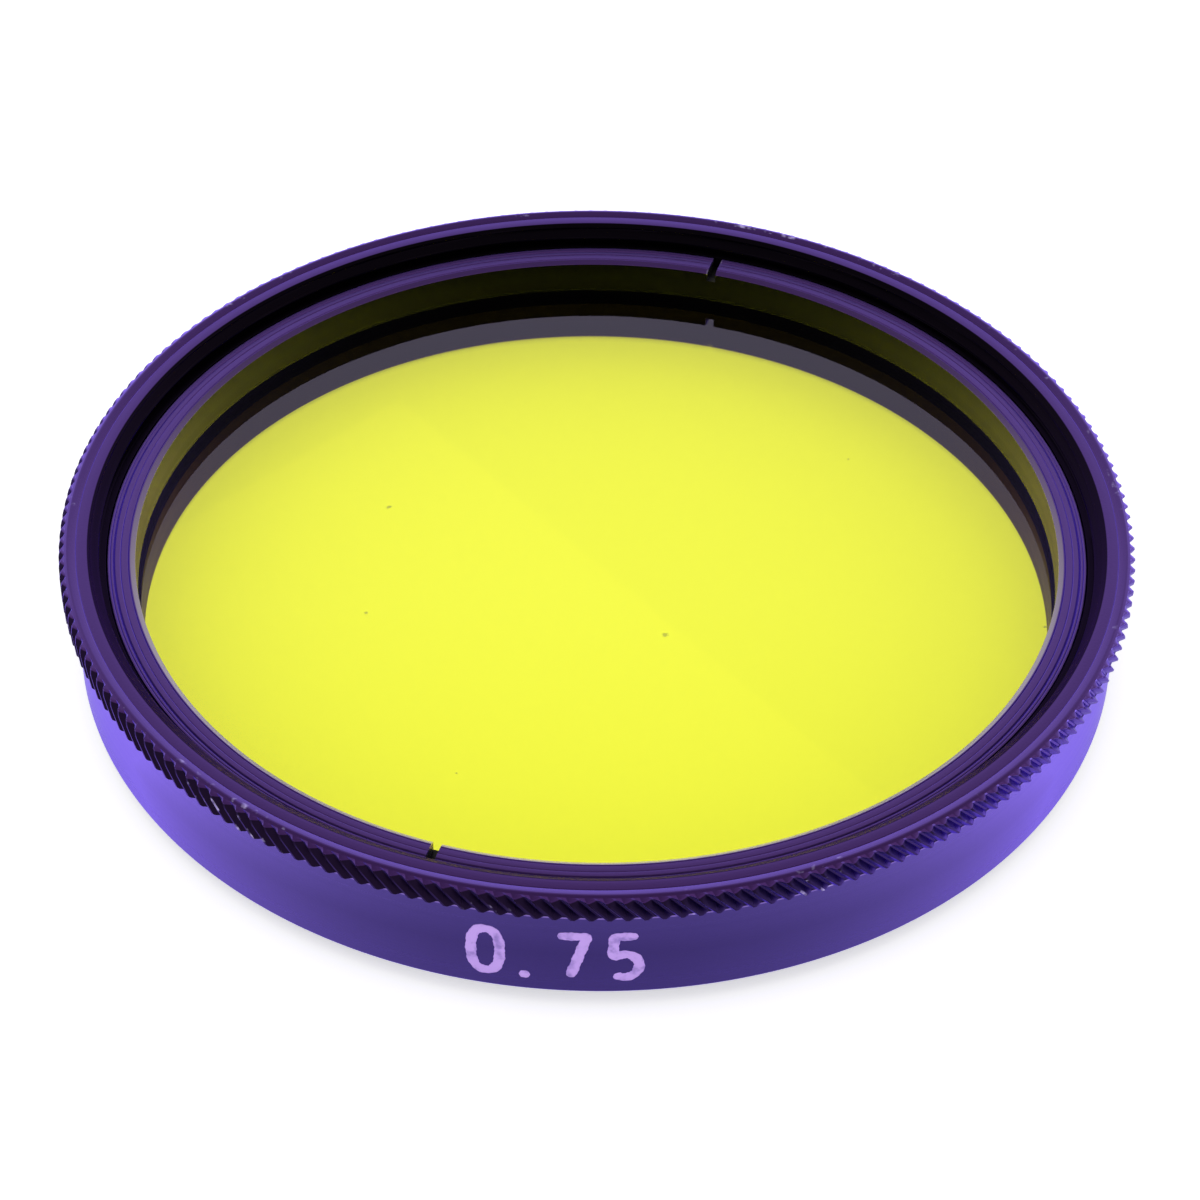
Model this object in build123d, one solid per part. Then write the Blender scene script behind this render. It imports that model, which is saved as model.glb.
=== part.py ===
from build123d import *
import os
from math import cos, sin, tan, radians, degrees

# Screw-in colour lens filter, lying on its rear thread with the front rim up.
# Millimetres, +Z up, the optical axis is the Z axis and the rest plane is Z = 0.

# Filter thread, the same size in front and behind
thread_diameter = 49.0           # nominal outside diameter of the metric fine thread
thread_pitch = 0.75
thread_depth = 0.54 * thread_pitch    # from the crest to the root of a metric thread
thread_allowance = 0.05          # the rear thread is this much under size, on the radius
rear_thread_height = 0.9

# Mount ring, outside
band_wall = 0.9                  # of the band, outside the front thread
ring_height = 6.4                # from the underside of the band to the highest edge of the rim
flange_step = 0.6                # the flange stands out from the band by this much
flange_height = 1.35
band_chamfer = 0.12

# Knurl on the flange
knurl_teeth = 204
knurl_depth = 0.28
knurl_lean = 42.0                # degrees from upright; the crests fall to the right seen from outside
knurl_lip = 0.10                 # height of the plain lip under the teeth
knurl_lip_stand = 0.03           # the lip stands out from the roots of the teeth by this much

# Rim face of the mount ring, from the outside inwards
rim_bevel_width = 0.4            # falls outwards to the tooth crests
rim_bevel_drop = 0.16
rim_land_width = 0.08            # narrow land, the highest part of the rim
rim_slope_width = 0.35           # falls inwards from the land
rim_slope_drop = 0.10
lead_in_margin = 0.1             # the mouth of the front thread is this much over size, on the radius
lead_in_height = 0.36

# Seat of the glass
ledge_height = 2.35              # from the rest plane to the ledge
ledge_width = 1.2                # the ledge reaches this far in under the glass
glass_inset = 1.0                # edge of the glass inside the front thread
glass_thickness = 2.0
glass_chamfer = 0.15
glass_side_gap = 0.10            # between the edge of the glass and its recess
rear_edge_chamfer = 0.2

# Retaining ring, screwed into a finer thread that leaves a shoulder below the front thread
retainer_shoulder = 0.295
retainer_height = 1.85
retainer_width = 1.35
retainer_side_gap = 0.05         # between the ring and the bore it is screwed into
retainer_end_gap = 0.10          # under the outer part of the ring, so that only the glass is clamped
retainer_slope_width = 0.25      # round the inner edge of the face
retainer_slope_drop = 0.13
retainer_outer_chamfer = 0.10
face_groove_inset = 0.325        # from the outside of the ring
face_groove_width = 0.14
face_groove_depth = 0.08
spanner_slot_width = 0.45
spanner_slot_depth = 0.60
spanner_slot_direction = 73.5    # degrees from +X
spanner_slot_offset = 0.5        # the two slots are one cut, which passes the axis on its left

# Radii that follow
thread_major = thread_diameter / 2
thread_minor = thread_major - thread_depth
band = thread_major + band_wall
crest = band + flange_step
root = crest - knurl_depth
ridge = crest - rim_bevel_width
glass = thread_major - glass_inset
recess = glass + glass_side_gap
ledge = glass - ledge_width
retainer_bore = thread_minor - retainer_shoulder
retainer = retainer_bore - retainer_side_gap
aperture = retainer - retainer_width

# Heights that follow
band_bottom = rear_thread_height
ridge_top = band_bottom + ring_height
rim_top = ridge_top - rim_slope_drop
flange_bottom = ridge_top - flange_height
lip_top = flange_bottom + knurl_lip
glass_top = ledge_height + glass_thickness
retainer_top = glass_top + retainer_height


def turned(profile):
    """Solid of revolution about Z from (radius, height) corners."""
    outline = Polyline(*[(radius, 0, height) for radius, height in profile], close=True)
    return revolve(make_face(outline), Axis.Z)


def toothed_outline(height, crest_radius, root_radius):
    """Corners of the knurl at one height, a crest and a root for each tooth. The outline turns with the
    height, which makes the teeth lean."""
    pitch = 360 / knurl_teeth
    lean_turn = -degrees((height - flange_bottom) * tan(radians(knurl_lean)) / crest)
    corners = []
    for tooth in range(knurl_teeth):
        for radius, share in ((crest_radius, 0), (root_radius, 0.5)):
            angle = radians((tooth + share) * pitch + lean_turn)
            corners.append((radius * cos(angle), radius * sin(angle), height))
    return corners


def toothed_disc(outlines):
    """Solid between toothed outlines stacked upwards. A facet between two outlines is slightly twisted,
    so it is two flat triangles."""
    facets = [make_face(Polyline(*outlines[0], close=True)), make_face(Polyline(*outlines[-1], close=True))]
    for lower, upper in zip(outlines, outlines[1:]):
        for this in range(len(lower)):
            following = (this + 1) % len(lower)
            for triangle in ((lower[this], lower[following], upper[following]),
                             (lower[this], upper[following], upper[this])):
                facets.append(make_face(Polyline(*triangle, close=True)))
    return Solid(Shell(facets))


def make_knurled_flange():
    # The bevel is one cone from the ridge down to the crests, so the roots leave it part of the way up.
    bevel_root = ridge_top - rim_bevel_drop * (root - ridge) / (crest - ridge)
    return toothed_disc([
        toothed_outline(lip_top, crest, root),
        toothed_outline(ridge_top - rim_bevel_drop, crest, root),
        toothed_outline(bevel_root, root, root),
        toothed_outline(ridge_top, ridge, ridge),
    ])


def make_mount_ring():
    rear_crest = thread_major - thread_allowance
    rear_chamfer = thread_depth / 2
    body = turned([
        (0, 0),
        (rear_crest - rear_chamfer, 0),
        (rear_crest, rear_chamfer),
        (rear_crest, band_bottom),
        (band - band_chamfer, band_bottom),
        (band, band_bottom + band_chamfer),
        (band, flange_bottom),
        (root + knurl_lip_stand, flange_bottom),
        (root + knurl_lip_stand, lip_top),
        (0, lip_top),
    ])

    slope_top = ridge - rim_land_width
    over = 1.0                   # the cut runs this far past both ends
    inside = turned([
        (0, -over),
        (ledge + rear_edge_chamfer + over, -over),
        (ledge, rear_edge_chamfer),
        (ledge, ledge_height),
        (recess, ledge_height),
        (recess, glass_top - retainer_end_gap),
        (retainer_bore, glass_top - retainer_end_gap),
        (retainer_bore, retainer_top),
        (thread_minor, retainer_top),
        (thread_minor, rim_top - lead_in_height),
        (thread_major + lead_in_margin, rim_top),
        (slope_top - rim_slope_width, rim_top),
        (slope_top, ridge_top),
        (slope_top, ridge_top + over),
        (0, ridge_top + over),
    ])
    return body + make_knurled_flange() - inside


def make_filter_glass():
    return turned([
        (0, ledge_height),
        (glass - glass_chamfer, ledge_height),
        (glass, ledge_height + glass_chamfer),
        (glass, glass_top - glass_chamfer),
        (glass - glass_chamfer, glass_top),
        (0, glass_top),
    ])


def make_retaining_ring():
    groove = retainer - face_groove_inset
    ring = turned([
        (aperture, glass_top),
        (aperture, retainer_top - retainer_slope_drop),
        (aperture + retainer_slope_width, retainer_top),
        (groove - face_groove_width / 2, retainer_top),
        (groove, retainer_top - face_groove_depth),
        (groove + face_groove_width / 2, retainer_top),
        (retainer - retainer_outer_chamfer, retainer_top),
        (retainer, retainer_top - retainer_outer_chamfer),
        (retainer, glass_top + retainer_outer_chamfer),
        (retainer - retainer_outer_chamfer, glass_top),
    ])
    slots = Rot(0, 0, spanner_slot_direction) * Pos(0, spanner_slot_offset, retainer_top) * Box(
        3 * retainer, spanner_slot_width, 2 * spanner_slot_depth)
    return ring - slots


os.makedirs("parts", exist_ok=True)
export_step(make_mount_ring(), "parts/mount_ring.step")
export_step(make_filter_glass(), "parts/filter_glass.step")
export_step(make_retaining_ring(), "parts/retaining_ring.step")
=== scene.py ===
import bmesh
import bpy
import numpy as np
from mathutils import Matrix, Vector


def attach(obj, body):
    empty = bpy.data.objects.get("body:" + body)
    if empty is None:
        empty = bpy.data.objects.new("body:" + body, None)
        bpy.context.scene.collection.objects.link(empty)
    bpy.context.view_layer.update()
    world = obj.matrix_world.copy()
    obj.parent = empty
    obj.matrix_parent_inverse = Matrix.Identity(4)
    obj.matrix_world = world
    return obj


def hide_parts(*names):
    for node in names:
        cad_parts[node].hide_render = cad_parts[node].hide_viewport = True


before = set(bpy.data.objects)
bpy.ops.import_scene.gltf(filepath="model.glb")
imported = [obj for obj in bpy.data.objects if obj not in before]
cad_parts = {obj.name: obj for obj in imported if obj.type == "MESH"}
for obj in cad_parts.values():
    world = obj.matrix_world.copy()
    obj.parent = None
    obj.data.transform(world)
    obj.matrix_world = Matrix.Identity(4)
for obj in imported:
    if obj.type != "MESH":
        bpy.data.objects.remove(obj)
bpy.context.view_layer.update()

# Mount ring. One piece of aluminium turned on a lathe, with the same filter thread in front and behind,
# knurled on its flange, anodised violet. Its inner ledge carries the glass.
# Lengths are in millimetres, measured from the rest plane and from the optical axis.

mm = 0.001
thread_pitch = 0.75
thread_depth = 0.405
thread_steepness = 1.3                  # of the flanks, a plain triangle wave having 1
thread_flat = 0.15                      # how much of the steeper wave is cut off at crest and at root
front_thread_crest = 24.095
rear_thread_crest = 24.45
rear_thread_height = 0.9
rear_thread_mouth = 24.2475             # radius of its lead-in at the rest plane
lead_in_bottom = 6.84                   # the front thread opens as a cone from here to the rim
lead_in_slope = 0.505 / 0.36
thread_fade = 0.1                       # height over which a thread runs out
foot_inside = 22.5
foot_chamfer = 0.2
foot_outside = 24.2
shoulder = 25.28
band = 25.4
band_bottom = 1.02
band_row = 3.4                          # one more row of points, which keeps the band's faces short
flange_bottom = 5.95
flange_step = 25.75
knurl_bottom = 6.05
knurl_crest = 26.0
knurl_root = 25.72
knurl_teeth = 204
knurl_lean = np.radians(42)
knurl_crest_flat = 0.15                 # share of the tooth pitch
knurl_root_flat = 0.16
tooth_rounding = ([6.9, 7.02, 7.14, 7.19], [0, 0.03, 0.10, 0.19])   # heights, and how far the tops fall
bevel_bottom = 7.14
bevel_height = 0.16
knurl_rows = (6.11, 6.5, 6.9, 7.02, bevel_bottom, 7.19, 7.252, 7.28)    # heights above the lowest row
knurl_foot = 0.06                       # how far the crests are drawn in on the lowest row
ridge = 25.6
ridge_top = 7.3
ridge_inside = 25.52
rim_line = 25.17                        # fine turned line at the inner foot of the ridge
rim_row = 24.9                          # one more row of points on the rim
rim_inside = 24.62
rim_top = 7.2
retainer_bore = 23.8
retainer_seat = 4.25
recess = 23.6
ledge = 22.3
ledge_height = 2.35
retainer_top = 6.2
sharp_from = np.radians(24)             # faces that meet at more than this angle meet in a sharp edge


def rounded(corners, steps=3):
    """Profile points from corners (radius, height, rounding). A corner with a rounding becomes the curve
    (1-t)^2 start + 2t(1-t) corner + t^2 end, t from 0 to 1, where start and end lie on its two sides,
    the rounding away from it. The first and last corners stay sharp."""
    points = []
    for before, here, after in zip([None] + corners[:-1], corners, corners[1:] + [None]):
        corner = np.array(here[:2])
        if before is None or after is None or not here[2]:
            points.append(corner)
            continue
        start = np.array(before[:2]) - corner
        end = np.array(after[:2]) - corner
        start = corner + start * here[2] / np.hypot(*start)
        end = corner + end * here[2] / np.hypot(*end)
        t = np.linspace(0, 1, steps + 1)[:, None]
        points.extend((1 - t) ** 2 * start + 2 * t * (1 - t) * corner + t ** 2 * end)
    return np.array(points)


def thread_cut(height, angle):
    """Cut of the right-hand thread at a height and angle: a triangle wave of height/pitch - angle/turn,
    flattened on the crests, where the cut is 0, and in the roots, where it is the thread's depth."""
    wave = np.abs(2 * np.mod(height / thread_pitch - angle / (2 * np.pi), 1) - 1)
    return thread_depth * np.clip(thread_steepness * wave - thread_flat, 0, 1)


def carried_round(radius, height, angle):
    """Points in metres of a profile carried round the optical axis:
    x = radius cos(angle), y = radius sin(angle), z = height, over rows (profile) and columns (angle)."""
    radius, height, angle = np.broadcast_arrays(radius, height, angle)
    return np.stack([radius * np.cos(angle), radius * np.sin(angle), height], axis=-1) * mm


def placed(name, mesh, material):
    """The mesh as a piece of the scene, in its material."""
    mesh.materials.append(material)
    piece = bpy.data.objects.new(name, mesh)
    bpy.context.scene.collection.objects.link(piece)
    return piece


def piece_of_grid(name, points, material):
    """Closed piece from a grid of points that closes on itself both ways: each face joins point (i, j)
    with (i, j+1), (i+1, j+1) and (i+1, j), counted round. Points that coincide become one."""
    rows, columns = points.shape[:2]
    i, j = np.meshgrid(np.arange(rows), np.arange(columns), indexing="ij")
    next_i, next_j = (i + 1) % rows, (j + 1) % columns
    faces = np.stack([i * columns + j, i * columns + next_j, next_i * columns + next_j,
                      next_i * columns + j], axis=-1).reshape(-1, 4)
    mesh = bpy.data.meshes.new(name)
    mesh.from_pydata(points.reshape(-1, 3), [], faces)
    joined = bmesh.new()
    joined.from_mesh(mesh)
    bmesh.ops.remove_doubles(joined, verts=joined.verts, dist=1e-8)
    bmesh.ops.dissolve_degenerate(joined, dist=1e-8, edges=joined.edges)
    joined.to_mesh(mesh)
    joined.free()
    mesh.shade_smooth()
    mesh.set_sharp_from_angle(angle=sharp_from)
    return placed(name, mesh, material)


def node_group(name, inputs, outputs):
    """An empty group of shader nodes, with its inputs as (name, kind, value) and outputs as (name, kind)."""
    group = bpy.data.node_groups.new(name, "ShaderNodeTree")
    for label, kind, value in inputs:
        socket = group.interface.new_socket(label, in_out="INPUT", socket_type=kind)
        socket.default_value = value
    for label, kind in outputs:
        group.interface.new_socket(label, in_out="OUTPUT", socket_type=kind)
    return group, group.nodes.new("NodeGroupInput"), group.nodes.new("NodeGroupOutput")


def add(tree, kind, links=None, values=None, **settings):
    """A shader node with its settings, input values and incoming links."""
    node = tree.nodes.new(kind)
    for key, value in settings.items():
        setattr(node, key, value)
    for key, value in (values or {}).items():
        node.inputs[key].default_value = value
    for key, source in (links or {}).items():
        tree.links.new(source, node.inputs[key])
    return node


def new_material(name):
    """A material, its node tree, its shader and the place of the point on the piece, in metres."""
    material = bpy.data.materials.new(name)
    material.use_nodes = True
    tree = material.node_tree
    return material, tree, tree.nodes["Principled BSDF"], add(tree, "ShaderNodeTexCoord").outputs["Object"]


def place_on_ring():
    """Group: where a point lies on a turned part, as its distance from the optical axis and its height
    above the rest plane, in mm."""
    group, given, out = node_group("place_on_ring", [("Place", "NodeSocketVector", (0, 0, 0))],
                                   [("Radius", "NodeSocketFloat"), ("Height", "NodeSocketFloat")])
    flat = add(group, "ShaderNodeVectorMath", {0: given.outputs["Place"]}, {1: (1000, 1000, 0)},
               operation="MULTIPLY")
    radius = add(group, "ShaderNodeVectorMath", {0: flat.outputs[0]}, operation="LENGTH")
    split = add(group, "ShaderNodeSeparateXYZ", {0: given.outputs["Place"]})
    height = add(group, "ShaderNodeMath", {0: split.outputs["Z"]}, {1: 1000}, operation="MULTIPLY")
    group.links.new(radius.outputs["Value"], out.inputs["Radius"])
    group.links.new(height.outputs[0], out.inputs["Height"])
    return group


def tool_marks(place):
    """Group: fine rings left by the turning tool, as a height from 0 to 1. A one-dimensional noise of
    radius + 0.7 height runs round the part on faces and walls alike."""
    group, given, out = node_group("tool_marks",
                                   [("Place", "NodeSocketVector", (0, 0, 0)),
                                    ("Rings per mm", "NodeSocketFloat", 12.0)],
                                   [("Height", "NodeSocketFloat"), ("Streaks", "NodeSocketFloat")])
    at = add(group, "ShaderNodeGroup", {"Place": given.outputs["Place"]}, node_tree=place)
    along = add(group, "ShaderNodeMath", {0: at.outputs["Height"], 2: at.outputs["Radius"]}, {1: 0.7},
                operation="MULTIPLY_ADD")
    scaled = add(group, "ShaderNodeMath", {0: along.outputs[0], 1: given.outputs["Rings per mm"]},
                 operation="MULTIPLY")
    rings = add(group, "ShaderNodeTexNoise", {"W": scaled.outputs[0]},
                {"Scale": 1.0, "Detail": 2.0, "Roughness": 0.6}, noise_dimensions="1D")
    streaks = add(group, "ShaderNodeTexNoise", {"W": scaled.outputs[0]},
                  {"Scale": 0.23, "Detail": 1.0}, noise_dimensions="1D")
    group.links.new(rings.outputs["Fac"], out.inputs["Height"])
    group.links.new(streaks.outputs["Fac"], out.inputs["Streaks"])
    return group


def edge_nicks():
    """Group: mask of small nicks and rubbed spots, 1 in a nick, where a fine noise times a coarse one
    rises over 0.5 less the amount."""
    group, given, out = node_group("edge_nicks",
                                   [("Place", "NodeSocketVector", (0, 0, 0)),
                                    ("Amount", "NodeSocketFloat", 0.1)],
                                   [("Mask", "NodeSocketFloat")])
    spots = add(group, "ShaderNodeTexNoise", {"Vector": given.outputs["Place"]},
                {"Scale": 1900.0, "Detail": 2.0, "Roughness": 0.6})
    where = add(group, "ShaderNodeTexNoise", {"Vector": given.outputs["Place"]},
                {"Scale": 160.0, "Detail": 1.0})
    both = add(group, "ShaderNodeMath", {0: spots.outputs["Fac"], 1: where.outputs["Fac"]},
               operation="MULTIPLY")
    low = add(group, "ShaderNodeMath", {1: given.outputs["Amount"]}, {0: 0.5}, operation="SUBTRACT")
    mask = add(group, "ShaderNodeMapRange", {"Value": both.outputs[0], "From Min": low.outputs[0]},
               {"From Max": 0.5}, interpolation_type="SMOOTHSTEP")
    group.links.new(mask.outputs["Result"], out.inputs["Mask"])
    return group


def between():
    """Group: 1 where a length lies between two others, falling to 0 over a soft margin outside them."""
    group, given, out = node_group("between",
                                   [("Length", "NodeSocketFloat", 0.0), ("From", "NodeSocketFloat", 0.0),
                                    ("To", "NodeSocketFloat", 1.0), ("Margin", "NodeSocketFloat", 0.05)],
                                   [("Mask", "NodeSocketFloat")])
    over = add(group, "ShaderNodeMath", {0: given.outputs["Length"], 1: given.outputs["From"]},
               operation="SUBTRACT")
    under = add(group, "ShaderNodeMath", {0: given.outputs["To"], 1: given.outputs["Length"]},
                operation="SUBTRACT")
    least = add(group, "ShaderNodeMath", {0: over.outputs[0], 1: under.outputs[0]}, operation="MINIMUM")
    share = add(group, "ShaderNodeMath", {0: least.outputs[0], 1: given.outputs["Margin"]},
                operation="DIVIDE")
    mask = add(group, "ShaderNodeMath", {0: share.outputs[0]}, {1: 1.0}, operation="ADD", use_clamp=True)
    group.links.new(mask.outputs[0], out.inputs["Mask"])
    return group


place_group = place_on_ring()
marks_group = tool_marks(place_group)
nicks_group = edge_nicks()
between_group = between()


def span(tree, length, low, high, margin=0.03):
    """A mask from the group between, for one length of a material."""
    return add(tree, "ShaderNodeGroup", {"Length": length}, {"From": low, "To": high, "Margin": margin},
               node_tree=between_group).outputs["Mask"]


def times(tree, first, second):
    """Product of two masks."""
    return add(tree, "ShaderNodeMath", {0: first, 1: second}, operation="MULTIPLY").outputs[0]


def either(tree, first, second):
    """The greater of two masks."""
    return add(tree, "ShaderNodeMath", {0: first, 1: second}, operation="MAXIMUM").outputs[0]


# laid_over mixes every colour here: dye, wear and dust, and also the painted shade and painted highlights
def laid_over(tree, colour, mask, other):
    """A colour with another laid over it by a mask. Either may be an output or plain numbers."""
    mix = add(tree, "ShaderNodeMix", data_type="RGBA")
    tree.links.new(mask, mix.inputs["Factor"])
    for socket, given in ((mix.inputs[6], colour), (mix.inputs[7], other)):
        if isinstance(given, tuple):
            socket.default_value = (*given, 1)
        else:
            tree.links.new(given, socket)
    return mix.outputs[2]


# The slanting colours are a painted sheen: the base colour turns towards them as slant_gain
# facing^slant_power
slant_power = 3.0
slant_gain = 2.6
roughness_spread = 0.05
grain_height = 0.000006                 # in metres, and so are the ring heights
violet_sheen = (0.6, 0.5, 1.0, 1)


def anodised_surface(tree, shader, straight, slanting, where, rings_per_mm, roughness, ring_height):
    """Metal under a dye-coloured oxide layer. The reflection's colour turns from the straight colour to the
    slanting one as gain facing^power, facing being 0 where the surface is met straight on: a painted sheen,
    brighter where the surface is met at a slant. Its bump has the rings of the turning tool and a fine
    grain."""
    facing = add(tree, "ShaderNodeLayerWeight", values={"Blend": 0.5})
    rise = add(tree, "ShaderNodeMath", {0: facing.outputs["Facing"]}, {1: slant_power}, operation="POWER")
    rise = add(tree, "ShaderNodeMath", {0: rise.outputs[0]}, {1: slant_gain}, operation="MULTIPLY",
               use_clamp=True)
    tree.links.new(laid_over(tree, straight, rise.outputs[0], slanting), shader.inputs["Base Color"])
    marks = add(tree, "ShaderNodeGroup", {"Place": where}, {"Rings per mm": rings_per_mm},
                node_tree=marks_group)
    rough = add(tree, "ShaderNodeMapRange", {"Value": marks.outputs["Streaks"]},
                {"From Min": 0.3, "From Max": 0.7, "To Min": roughness - roughness_spread,
                 "To Max": roughness + roughness_spread})
    tree.links.new(rough.outputs["Result"], shader.inputs["Roughness"])
    grain = add(tree, "ShaderNodeTexNoise", {"Vector": where}, {"Scale": 9000.0, "Detail": 1.0})
    fine = add(tree, "ShaderNodeBump", {"Height": grain.outputs["Fac"]},
               {"Strength": 1.0, "Distance": grain_height})
    bump = add(tree, "ShaderNodeBump", {"Height": marks.outputs["Height"], "Normal": fine.outputs["Normal"]},
               {"Strength": 1.0, "Distance": ring_height})
    tree.links.new(bump.outputs["Normal"], shader.inputs["Normal"])
    tangent = add(tree, "ShaderNodeTangent", direction_type="RADIAL", axis="Z")
    tree.links.new(tangent.outputs["Tangent"], shader.inputs["Tangent"])
    shader.inputs["Metallic"].default_value = 1.0
    shader.inputs["Specular Tint"].default_value = violet_sheen
    shader.inputs["Anisotropic"].default_value = 0.5
    shader.inputs["Anisotropic Rotation"].default_value = 0.25


past_top = 8                            # a height and a radius outside the part
past_rim = 27
crisp = 0.01                            # margin of a mask with a crisp edge
rim_zone = 7.1                          # the rim's colour starts at this height, and the knurl's painted shade ends
knurl_zone = 6.03
# inside these radii and above these heights the front thread and the bore carry painted shade
front_bore_radius, front_bore_zone = 24.6, 1.0
rear_bore_radius, rear_bore_zone = 23.7, 0.3
lip_radius, lip_zone = 25.9, (5.96, 6.04)   # thin edge under the knurl, which carries a painted highlight
worn_crest = 25.97                      # crests of the teeth and top of the ridge, where nicks show
worn_ridge = 7.27
mount_nicks = 0.17
# colours met straight on, and the painted sheen met at a slant
band_straight, band_slanting = (0.024, 0.0145, 0.092), (0.34, 0.24, 0.95)
# painted shade among the teeth of the knurl
knurl_shade_straight, knurl_shade_slanting = (0.012, 0.006, 0.022), (0.14, 0.09, 0.42)
# painted shade in the front thread and in the bore
bore_shade_straight, bore_shade_slanting = (0.0045, 0.003, 0.0055), (0.03, 0.02, 0.04)
rim_straight = (0.062, 0.024, 0.125)
# painted highlight on the thin edge under the knurl
lip_highlight = (0.20, 0.13, 0.42)
nick_colour = (0.62, 0.52, 0.95)


def violet_anodised():
    """Dyed anodised aluminium of the mount ring: bluer on the band and redder on the faced rim. Painted
    shade makes it nearly black in the knurl, in the front thread and in the bore, and a painted highlight
    lies on the thin edge under the knurl. Nicks show on the edges that are handled."""
    material, tree, shader, where = new_material("violet_anodised")
    at = add(tree, "ShaderNodeGroup", {"Place": where}, node_tree=place_group)
    radius, height = at.outputs["Radius"], at.outputs["Height"]
    rim = span(tree, height, rim_zone, past_top)
    # Painted shade in the knurl, where its teeth shade each other.
    knurl = times(tree, span(tree, height, knurl_zone, rim_zone), span(tree, radius, ridge, past_rim))
    # Painted shade in the front thread and in the bore, recesses where shade falls.
    front_bore = times(tree, span(tree, radius, 0, front_bore_radius, 0.05),
                       span(tree, height, front_bore_zone, past_top, 0.1))
    rear_bore = times(tree, span(tree, radius, 0, rear_bore_radius, 0.05),
                      span(tree, height, rear_bore_zone, past_top, 0.1))
    inside = either(tree, front_bore, rear_bore)
    straight = laid_over(tree, band_straight, rim, rim_straight)
    straight = laid_over(tree, straight, knurl, knurl_shade_straight)
    straight = laid_over(tree, straight, inside, bore_shade_straight)
    slanting = laid_over(tree, band_slanting, knurl, knurl_shade_slanting)
    slanting = laid_over(tree, slanting, inside, bore_shade_slanting)
    nicks = add(tree, "ShaderNodeGroup", {"Place": where}, {"Amount": mount_nicks}, node_tree=nicks_group)
    edges = either(tree, span(tree, radius, worn_crest, past_rim, crisp),
                   span(tree, height, worn_ridge, past_top, crisp))
    lip = times(tree, span(tree, height, *lip_zone, crisp), span(tree, radius, ridge, lip_radius))
    edges = either(tree, edges, lip)
    # Painted highlight along the thin edge under the knurl.
    straight = laid_over(tree, straight, lip, lip_highlight)
    straight = laid_over(tree, straight, times(tree, nicks.outputs["Mask"], edges), nick_colour)
    anodised_surface(tree, shader, straight, slanting, where, rings_per_mm=12.0, roughness=0.32,
                     ring_height=0.000002)
    return material


def knurl_columns():
    """Angles of the grid's columns and the depth share of each: every tooth has two columns along its
    crest, share 0, and two along its root, share 1."""
    shares = np.array([-knurl_crest_flat / 2, knurl_crest_flat / 2,
                       0.5 - knurl_root_flat / 2, 0.5 + knurl_root_flat / 2])
    angle = (np.arange(knurl_teeth)[:, None] + shares).ravel() * 2 * np.pi / knurl_teeth
    return angle, np.tile([0.0, 0.0, 1.0, 1.0], knurl_teeth)


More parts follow.
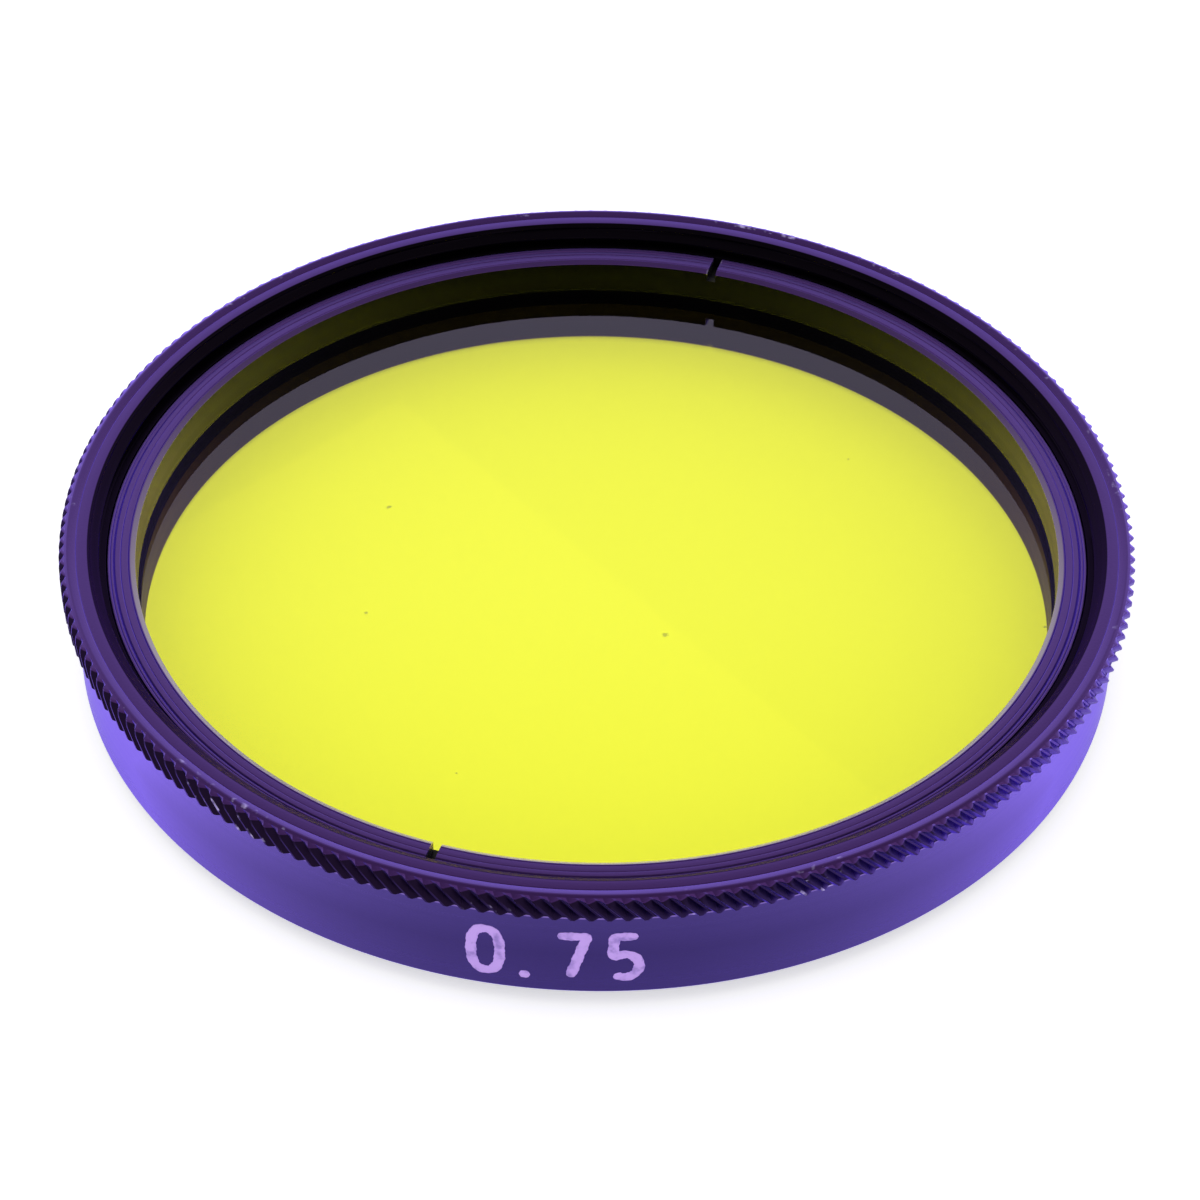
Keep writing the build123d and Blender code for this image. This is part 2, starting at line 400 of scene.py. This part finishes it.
def mount_ring_grid():
    """Radius and height of the mount ring over its profile, foot first and counted upwards outside, and
    over the columns. Knurl: the columns turn by -tan(lean) (height - bottom)/crest radius, and the
    radius is the least of the tooth, its rounded top and the cone that bevels it. Threads: crest radius
    minus the cut behind and plus the cut in front. Only the knurl's rows turn, and over the rows that
    follow them the turn falls back to 0."""
    angle, tooth = knurl_columns()
    parts = []

    def plain(corners):
        profile = rounded(corners)
        parts.append((profile[:, :1], profile[:, 1:], 0))

    plain([(ledge, foot_chamfer, 0), (foot_inside, 0, 0.05), (foot_outside, 0, 0)])
    height = np.linspace(0, rear_thread_height - 0.02, 17)[:, None]
    fade = np.clip((rear_thread_height - height) / thread_fade, 0, 1)
    cut = thread_cut(height, angle) * fade
    parts.append((np.minimum(rear_thread_mouth + height, rear_thread_crest - cut), height, 0))
    plain([(rear_thread_crest - 0.01, rear_thread_height, 0), (shoulder, rear_thread_height, 0.03),
           (band, band_bottom, 0.05), (band, band_row, 0), (band, flange_bottom, 0.05),
           (flange_step, flange_bottom, 0.03), (flange_step, knurl_bottom, 0.03),
           (knurl_root + 0.01, knurl_bottom, 0)])
    height = np.array([knurl_bottom, *knurl_rows])[:, None]
    radius = knurl_crest - (knurl_crest - knurl_root) * tooth
    tops = knurl_crest - np.interp(height, *tooth_rounding)
    bevel = knurl_crest - (height - bevel_bottom) * (knurl_crest - ridge) / bevel_height
    radius = np.minimum(np.minimum(radius, tops), bevel)
    radius = np.where(height < knurl_rows[0], np.minimum(radius, knurl_crest - knurl_foot), radius)
    parts.append((radius, height, 1))
    plain([(ridge + 0.015, ridge_top - 0.006, 0), (ridge, ridge_top, 0.012), (ridge_inside, ridge_top, 0.03),
           (rim_line + 0.03, rim_top + 0.008, 0.02), (rim_line, rim_top - 0.02, 0),
           (rim_line - 0.03, rim_top, 0.01), (rim_row, rim_top, 0), (rim_inside, rim_top, 0)])
    height = np.linspace(rim_top - 0.004, retainer_top + 0.01, 22)[:, None]
    mouth = front_thread_crest + np.clip(height - lead_in_bottom, 0, 1) * lead_in_slope
    fade = np.clip((height - retainer_top) / thread_fade, 0, 1)
    cut = thread_cut(height, angle) * fade
    parts.append((np.maximum(mouth, front_thread_crest + cut), height, 0))
    plain([(front_thread_crest - 0.005, retainer_top, 0), (retainer_bore, retainer_top, 0.03),
           (retainer_bore, retainer_seat, 0), (recess, retainer_seat, 0), (recess, ledge_height, 0),
           (ledge, ledge_height, 0.03), (ledge, foot_chamfer + 0.04, 0)])

    radius = np.vstack([np.broadcast_to(r, (len(z), len(angle))) for r, z, _ in parts])
    height = np.vstack([np.broadcast_to(z, (len(z), len(angle))) for _, z, _ in parts])
    knurled = np.concatenate([np.full(len(z), leans) for _, z, leans in parts])
    turn = np.tan(knurl_lean) * (height[:, 0] - knurl_bottom) / knurl_crest * knurled
    last = np.flatnonzero(knurled)[-1]
    rows = np.arange(len(turn))
    turn = np.where(rows > last, np.interp(rows, [last, rows[-1]], [turn[last], 0]), turn)
    return radius, height, angle - turn[:, None]


mount_ring = piece_of_grid("mount_ring_turned", carried_round(*mount_ring_grid()), violet_anodised())
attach(mount_ring, "root")
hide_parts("mount_ring")

# Filter glass. A disc of yellow glass dyed in the mass, both faces polished and coated, its edge ground.
# It lies on the ledge of the mount ring.

glass_radius = 23.5
glass_bottom = ledge_height
glass_top = 4.35
glass_chamfer = 0.15
glass_yellow = (0.88, 0.90, 0.02)
dust_colour = (0.30, 0.31, 0.05)
dust_places = ((-10.42, 3.91, 0.13), (-11.10, -4.10, 0.10), (21.60, -4.46, 0.11), (3.31, -5.40, 0.16),
               (-6.3, -15.1, 0.07), (12.7, 8.2, 0.06))    # x, y and half width in mm


def dust_specks():
    """Group: mask of the few specks of dust on the upper face, 1 inside a speck, by the distance from
    each place, which a noise makes uneven."""
    group, given, out = node_group("dust_specks", [("Place", "NodeSocketVector", (0, 0, 0))],
                                   [("Mask", "NodeSocketFloat")])
    uneven = add(group, "ShaderNodeTexNoise", {"Vector": given.outputs["Place"]}, {"Scale": 9000.0})
    whole = None
    for x, y, half_width in dust_places:
        off = add(group, "ShaderNodeVectorMath", {0: given.outputs["Place"]},
                  {1: (x * mm, y * mm, glass_top * mm)}, operation="SUBTRACT")
        away = add(group, "ShaderNodeVectorMath", {0: off.outputs[0]}, operation="LENGTH")
        away = add(group, "ShaderNodeMath", {0: away.outputs["Value"], 1: uneven.outputs["Fac"]},
                   operation="MULTIPLY")
        speck = add(group, "ShaderNodeMapRange", {"Value": away.outputs[0]},
                    {"From Min": 0.3 * half_width * mm, "From Max": 0.5 * half_width * mm,
                     "To Min": 1.0, "To Max": 0.0})
        speck = speck.outputs["Result"]
        whole = speck if whole is None else either(group, whole, speck)
    group.links.new(whole, out.inputs["Mask"])
    return group


def yellow_glass():
    """Dyed coated glass. Shadow and diffuse rays go straight through it, tinted at each face by the
    root of its colour, so that the table under it is lit."""
    material, tree, shader, where = new_material("yellow_glass")
    dust = add(tree, "ShaderNodeGroup", {"Place": where}, node_tree=dust_specks())
    tree.links.new(laid_over(tree, glass_yellow, dust.outputs["Mask"], dust_colour), shader.inputs["Base Color"])
    shader.inputs["Roughness"].default_value = 0.0
    shader.inputs["IOR"].default_value = 1.65
    shader.inputs["Transmission Weight"].default_value = 1.0
    shader.inputs["Specular Tint"].default_value = violet_sheen
    clear = add(tree, "ShaderNodeBsdfTransparent",
                values={"Color": (*[level ** 0.5 for level in glass_yellow], 1)})
    path = add(tree, "ShaderNodeLightPath")
    straight = either(tree, path.outputs["Is Shadow Ray"], path.outputs["Is Diffuse Ray"])
    seen = add(tree, "ShaderNodeMixShader", {0: straight, 1: shader.outputs[0], 2: clear.outputs[0]})
    tree.links.new(seen.outputs[0], tree.nodes["Material Output"].inputs["Surface"])
    return material


def disc_piece(name, material, columns=360):
    """The disc as a piece: bands of faces carry the profile of its edge round, from the lower face up to
    the upper one, and a fan of triangles round the middle closes each face."""
    flat = glass_radius - glass_chamfer
    profile = np.array([(flat, glass_bottom), (glass_radius, glass_bottom + glass_chamfer),
                        (glass_radius, glass_top - glass_chamfer), (flat, glass_top)])
    angle = np.arange(columns) * 2 * np.pi / columns
    ring = carried_round(profile[:, :1], profile[:, 1:], angle)
    rows = len(ring)
    points = np.vstack([ring.reshape(-1, 3), [(0, 0, glass_bottom * mm), (0, 0, glass_top * mm)]])
    j = np.arange(columns)
    following = (j + 1) % columns
    bands = [np.stack([i * columns + j, i * columns + following, (i + 1) * columns + following,
                       (i + 1) * columns + j], axis=-1) for i in range(rows - 1)]
    under = np.stack([following, j, np.full(columns, rows * columns)], axis=-1)
    top = (rows - 1) * columns
    over = np.stack([top + j, top + following, np.full(columns, rows * columns + 1)], axis=-1)
    mesh = bpy.data.meshes.new(name)
    mesh.from_pydata(points, [], np.vstack(bands).tolist() + under.tolist() + over.tolist())
    mesh.shade_smooth()
    mesh.set_sharp_from_angle(angle=sharp_from)
    return placed(name, mesh, material)


filter_glass = disc_piece("filter_glass_disc", yellow_glass())
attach(filter_glass, "root")
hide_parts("filter_glass")

# Retaining ring. A turned ring screwed down on the glass from the front. Its outer thread is out of sight
# and left plain. One saw cut across its face, a little to one side of the axis, makes its two slots.

retainer = 23.75
retainer_chamfer = 0.1
aperture = 22.4
slot_direction = np.radians(73.5)
slot_offset = 0.5
slot_half_width = 0.225
slot_floor = 5.6
below_slots = 5.3                       # rows here keep the walls below the slots straight
slope_width = 0.25
slope_drop = 0.13
# turned lines on the face: radius, half width and depth
face_lines = ((23.60, 0.03, 0.03), (23.425, 0.07, 0.08), (23.1, 0.035, 0.03), (22.72, 0.03, 0.04))


def slot_edges():
    """Group: mask along the upper edges of the slots, 1 where the distance across the cut is that of
    its walls. The distance is -x sin(direction) + y cos(direction) - offset."""
    group, given, out = node_group("slot_edges", [("Place", "NodeSocketVector", (0, 0, 0))],
                                   [("Mask", "NodeSocketFloat")])
    across = add(group, "ShaderNodeVectorMath", {0: given.outputs["Place"]},
                 {1: (-1000 * np.sin(slot_direction), 1000 * np.cos(slot_direction), 0)},
                 operation="DOT_PRODUCT")
    across = add(group, "ShaderNodeMath", {0: across.outputs["Value"]}, {1: slot_offset},
                 operation="SUBTRACT")
    across = add(group, "ShaderNodeMath", {0: across.outputs[0]}, operation="ABSOLUTE")
    group.links.new(span(group, across.outputs[0], slot_half_width - 0.02, slot_half_width + 0.05, 0.02),
                    out.inputs["Mask"])
    return group


wall_zone = 6.05                        # the inner wall's painted shade, and its painted reflection at a slant, end at this height
slope_zone, slope_radii = (6.06, 6.19), (22, 22.64)
burr_zone = (6.0, 7)
retainer_nicks = 0.3
# face_slanting is a painted sheen, like the slanting colours of the mount ring
face_straight, face_slanting = (0.075, 0.033, 0.155), (0.36, 0.25, 0.98)
# painted shade of the inner wall, and a painted reflection where it is met at a slant
wall_shade, wall_reflection = (0.003, 0.0032, 0.002), (0.25, 0.25, 0.2)
slope_highlight = (1.0, 0.97, 0.8)
burr_colour = (0.75, 0.68, 0.95)


def violet_anodised_face():
    """Dyed anodised aluminium of the retaining ring: violet on its face; painted shade makes its inner wall
    nearly black, with a painted reflection where it is met at a slant; pale on the burrs of the slots; and a
    painted highlight, pale, on the slope of the inner edge where it is met at a slant."""
    material, tree, shader, where = new_material("violet_anodised_face")
    at = add(tree, "ShaderNodeGroup", {"Place": where}, node_tree=place_group)
    radius, height = at.outputs["Radius"], at.outputs["Height"]
    wall = span(tree, height, 0, wall_zone, crisp)
    slope = times(tree, span(tree, height, *slope_zone, crisp), span(tree, radius, *slope_radii, crisp))
    # Painted shade makes the inner wall nearly black; met at a slant it turns to a painted reflection.
    straight = laid_over(tree, face_straight, wall, wall_shade)
    slanting = laid_over(tree, face_slanting, wall, wall_reflection)
    # Painted highlight: the slope of the inner edge turns pale where it is met at a slant.
    slanting = laid_over(tree, slanting, slope, slope_highlight)
    nicks = add(tree, "ShaderNodeGroup", {"Place": where}, {"Amount": retainer_nicks},
                node_tree=nicks_group)
    edges = add(tree, "ShaderNodeGroup", {"Place": where}, node_tree=slot_edges())
    burr = times(tree, edges.outputs["Mask"], nicks.outputs["Mask"])
    burr = times(tree, burr, span(tree, height, *burr_zone))
    straight = laid_over(tree, straight, burr, burr_colour)
    anodised_surface(tree, shader, straight, slanting, where, rings_per_mm=9.0, roughness=0.3,
                     ring_height=0.000003)
    return material


def retaining_ring_grid(columns_between=300):
    """Radius, height and angle over the ring's profile and round it. Two columns stand on each wall of a
    slot, where the distance across the cut is the offset plus or minus half the width, so the angle is
    direction + asin(distance/radius). The columns between them have their height held down to the
    slot's floor, and so has one of the two on a wall."""
    face = []
    for radius, width, depth in sorted(face_lines, reverse=True):
        face += [(radius + width, retainer_top, 0.01), (radius, retainer_top - depth, 0),
                 (radius - width, retainer_top, 0.01)]
    profile = rounded([(aperture, glass_top, 0), (retainer - retainer_chamfer, glass_top, 0.02),
                       (retainer, glass_top + retainer_chamfer, 0.02), (retainer, below_slots, 0),
                       (retainer, retainer_top, 0.07)] + face
                      + [(aperture + slope_width, retainer_top, 0.02),
                         (aperture, retainer_top - slope_drop, 0.02),
                         (aperture, below_slots, 0), (aperture, glass_top + 0.02, 0)], steps=4)
    radius, height = profile[:, :1], profile[:, 1:]
    held = np.minimum(height, slot_floor)
    spread = np.linspace(0, 1, columns_between + 1)[None, 1:]
    angles, heights = [], []
    for start, side in ((slot_direction, 1), (slot_direction + np.pi, -1)):
        first, last = [start + np.arcsin((side * slot_offset + reach) / radius)
                       for reach in (-slot_half_width, slot_half_width)]
        for share, slotted in ((0, True), (0.35, True), (0.65, True), (1, True), (1, False)):
            angles.append(first + share * (last - first))
            heights.append(held if slotted else height)
        following = start + np.pi + np.arcsin((-side * slot_offset - slot_half_width) / radius)
        angles.append(last + spread * (following - last))
        heights.append(np.broadcast_to(height, (len(height), columns_between)))
    return radius, np.hstack(heights), np.hstack(angles)


retaining_ring = piece_of_grid("retaining_ring_turned", carried_round(*retaining_ring_grid()),
                               violet_anodised_face())
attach(retaining_ring, "root")
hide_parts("retaining_ring")

# Number on the band. Strokes of lilac paint laid in by hand, a little uneven.

number_direction = np.radians(-93.6)
number_height = 3.2                     # of the digits' middle above the rest plane
digit_height = 3.1
stroke_width = 0.5
stroke_step = 0.06
paint_thickness = 0.03
paint_thick, paint_thin = (0.60, 0.38, 0.96, 1), (0.24, 0.15, 0.55, 1)
digit_width = 0.58                      # share of the height
digit_places = (-3.1, -1.35, 0.75, 3.1)  # middles of 0, point, 7 and 5 along the band


def lilac_paint():
    """Matt paint, thin in places so that the violet shows through it."""
    material, tree, shader, where = new_material("lilac_paint")
    thin = add(tree, "ShaderNodeTexNoise", {"Vector": where}, {"Scale": 1500.0, "Detail": 4.0})
    stain = add(tree, "ShaderNodeMapRange", {"Value": thin.outputs["Fac"]},
                {"From Min": 0.5, "From Max": 0.72, "To Max": 0.8}, interpolation_type="SMOOTHSTEP")
    paint = add(tree, "ShaderNodeMix", data_type="RGBA")
    tree.links.new(stain.outputs["Result"], paint.inputs["Factor"])
    paint.inputs[6].default_value = paint_thick
    paint.inputs[7].default_value = paint_thin
    tree.links.new(paint.outputs[2], shader.inputs["Base Color"])
    shader.inputs["Roughness"].default_value = 0.55
    return material


def digit_paths():
    """Middle lines of the strokes of 0, point, 7 and 5, in mm, as (points, closed, place along the band).
    The 0 is a full oval: x = a cos(t), y = b sin(t), with 0.8 as the power of cosine and sine. The other
    numbers are shares of the half width a and the half height b."""
    b, a = (digit_height - stroke_width) / 2, (digit_width * digit_height - stroke_width) / 2
    t = np.linspace(0, 2 * np.pi, 49)[:-1, None]
    oval = np.hstack([a * np.sign(np.cos(t)) * np.abs(np.cos(t)) ** 0.8,
                      b * np.sign(np.sin(t)) * np.abs(np.sin(t)) ** 0.8])
    seven = rounded([(-a, b, 0), (a, b, 0.1), (-0.15 * a, -b, 0)])
    bow = np.linspace(0.72 * np.pi, -0.75 * np.pi, 25)[:, None]
    bowl = np.hstack([0.98 * a * np.cos(bow) - 0.02, 0.56 * b * np.sin(bow) - 0.42 * b])
    five = np.vstack([rounded([(0.85 * a, b, 0), (-0.75 * a, b, 0.06), (-0.86 * a, 0.12 * b, 0)]), bowl])
    point = np.array([(-stroke_width / 2, -b), (stroke_width / 2, -b)])
    return zip((oval, point, seven, five), (True, False, False, False), digit_places)


def even_steps(path, step):
    """The same line with its points an even step apart along its length."""
    along = np.concatenate([[0], np.cumsum(np.hypot(*np.diff(path, axis=0).T))])
    at = np.linspace(0, along[-1], max(int(along[-1] / step), 4) + 1)
    return np.stack([np.interp(at, along, path[:, 0]), np.interp(at, along, path[:, 1])], axis=-1)


def stroke_grid(path, closed, shift):
    """A flattened oval carried along a stroke and laid on the band: offset = w cos(u) across the line,
    and radius = band + thickness sin(u) outwards. The half width w swells and thins along the line, and
    falls to nothing as a half circle at each end."""
    reach = stroke_width / 2
    if closed:
        path = np.vstack([path, path[:1]])
    path = even_steps(path, stroke_step)
    if closed:
        path = path[:-1]
        ahead = np.roll(path, -1, axis=0) - np.roll(path, 1, axis=0)
    else:
        ahead = np.gradient(path, axis=0)
    ahead /= np.hypot(*ahead.T)[:, None]
    side = np.stack([ahead[:, 1], -ahead[:, 0]], axis=-1)
    along = np.concatenate([[0], np.cumsum(np.hypot(*np.diff(path, axis=0).T))])
    width = reach * (1 + 0.07 * np.sin(9 * along + 3 * shift) + 0.04 * np.sin(23 * along))
    if not closed:
        near_end = np.clip(1 - np.minimum(along, along[-1] - along) / reach, 0, 1)
        width = width * np.sqrt(1 - (0.995 * near_end) ** 2)
    u = np.linspace(0, 2 * np.pi, 13)[:-1]
    offset = width[:, None] * np.cos(u)
    across = path[:, :1] + side[:, :1] * offset + shift
    upwards = path[:, 1:] + side[:, 1:] * offset
    radius = band + paint_thickness * np.sin(u) * np.minimum(1, width / reach)[:, None]
    return radius, upwards + number_height, number_direction + across / band


def number_piece():
    """All strokes as one piece: a grid each, closed round the stroke and along it where it is closed,
    and capped at the ends otherwise."""
    points, faces, start = [], [], 0
    for path, closed, shift in digit_paths():
        grid = carried_round(*stroke_grid(path, closed, shift))
        rows, columns = grid.shape[:2]
        i, j = np.meshgrid(np.arange(rows if closed else rows - 1), np.arange(columns), indexing="ij")
        next_i, next_j = (i + 1) % rows, (j + 1) % columns
        quads = np.stack([i * columns + j, next_i * columns + j, next_i * columns + next_j,
                          i * columns + next_j], axis=-1).reshape(-1, 4) + start
        faces += quads.tolist()
        if not closed:
            faces += [list(range(start, start + columns)),
                      list(range(start + rows * columns - 1, start + (rows - 1) * columns - 1, -1))]
        points.append(grid.reshape(-1, 3))
        start += rows * columns
    mesh = bpy.data.meshes.new("band_number")
    mesh.from_pydata(np.vstack(points), [], faces)
    mesh.shade_smooth()
    return placed("band_number", mesh, lilac_paint())


band_number = number_piece()
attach(band_number, "root")

# Table and light, in metres. A white table that glows a little where the camera sees it, straight or in
# reflections or through the glass, a tent that is bright low down and dimmer above, and a soft lamp.

table_half = 1.5
table_height = -0.00002
table_mesh = bpy.data.meshes.new("table_top")
table_mesh.from_pydata([(x * table_half, y * table_half, table_height)
                        for x, y in ((-1, -1), (1, -1), (1, 1), (-1, 1))], [], [(0, 1, 2, 3)])
table = bpy.data.materials.new("white_table")
table.use_nodes = True
tree = table.node_tree
tree.nodes.remove(tree.nodes["Principled BSDF"])
path = add(tree, "ShaderNodeLightPath")
glow = None
for ray, share in (("Is Camera Ray", 0.5), ("Is Glossy Ray", 0.25), ("Is Transmission Ray", 0.1)):
    part = add(tree, "ShaderNodeMath", {0: path.outputs[ray]}, {1: share}, operation="MULTIPLY").outputs[0]
    glow = part if glow is None else add(tree, "ShaderNodeMath", {0: glow, 1: part}).outputs[0]
light = add(tree, "ShaderNodeEmission", {"Strength": glow}, {"Color": (1, 1, 1, 1)})
matt = add(tree, "ShaderNodeBsdfDiffuse", values={"Color": (0.9, 0.9, 0.9, 1)})
both = add(tree, "ShaderNodeAddShader", {0: light.outputs[0], 1: matt.outputs[0]})
tree.links.new(both.outputs[0], tree.nodes["Material Output"].inputs["Surface"])
table_top = placed("table_top", table_mesh, table)

world = bpy.data.worlds.new("light_tent")
bpy.context.scene.world = world
world.use_nodes = True
tree = world.node_tree
towards = add(tree, "ShaderNodeTexCoord").outputs["Generated"]
split = add(tree, "ShaderNodeSeparateXYZ", {0: towards})
ramp = add(tree, "ShaderNodeValToRGB", {"Fac": split.outputs["Z"]})
stops = ramp.color_ramp.elements
stops[0].position, stops[0].color = 0.0, (1, 1, 1, 1)
stops[1].position, stops[1].color = 1.0, (0.5, 0.5, 0.5, 1)
for place, level in ((0.5, 1.0), (0.66, 0.85), (0.72, 0.6)):    # place 0 is level and 1 straight up
    stop = stops.new(place)
    stop.color = (level, level, level, 1)
tree.links.new(ramp.outputs["Color"], tree.nodes["Background"].inputs["Color"])
tree.nodes["Background"].inputs["Strength"].default_value = 1.0

softbox = bpy.data.lights.new("softbox", "AREA")
softbox.shape = "RECTANGLE"
softbox.size, softbox.size_y = 1.5, 1.5
softbox.energy = 4.0
softbox_holder = bpy.data.objects.new("softbox", softbox)
bpy.context.scene.collection.objects.link(softbox_holder)
softbox_holder.visible_glossy = False
softbox_place = Vector((-0.1, 0.1, 1.0))
softbox_holder.matrix_world = Matrix.Translation(softbox_place) @ (
    -softbox_place).to_track_quat("-Z", "Y").to_matrix().to_4x4()

# Camera. Where the photograph was taken from, fitted to the edges of rim, ring, band and foot in it.

lens = bpy.data.cameras.new("camera")
lens.sensor_width = 36
lens.lens = 104.94
lens.clip_start = 0.01
lens.clip_end = 10
camera = bpy.data.objects.new("camera", lens)
bpy.context.scene.collection.objects.link(camera)
forward = Vector((0, 0.7522, -0.65894)).normalized()
right = Vector((0.99991, 0.00883, 0.01008))
right = (right - forward * right.dot(forward)).normalized()
up = right.cross(forward)
turned = Matrix((right, up, -forward)).transposed().to_4x4()
camera.matrix_world = Matrix.Translation(Vector((0.172, -130.416, 116.036)) * mm) @ turned
bpy.context.scene.camera = camera
bpy.context.scene.view_settings.view_transform = "Standard"
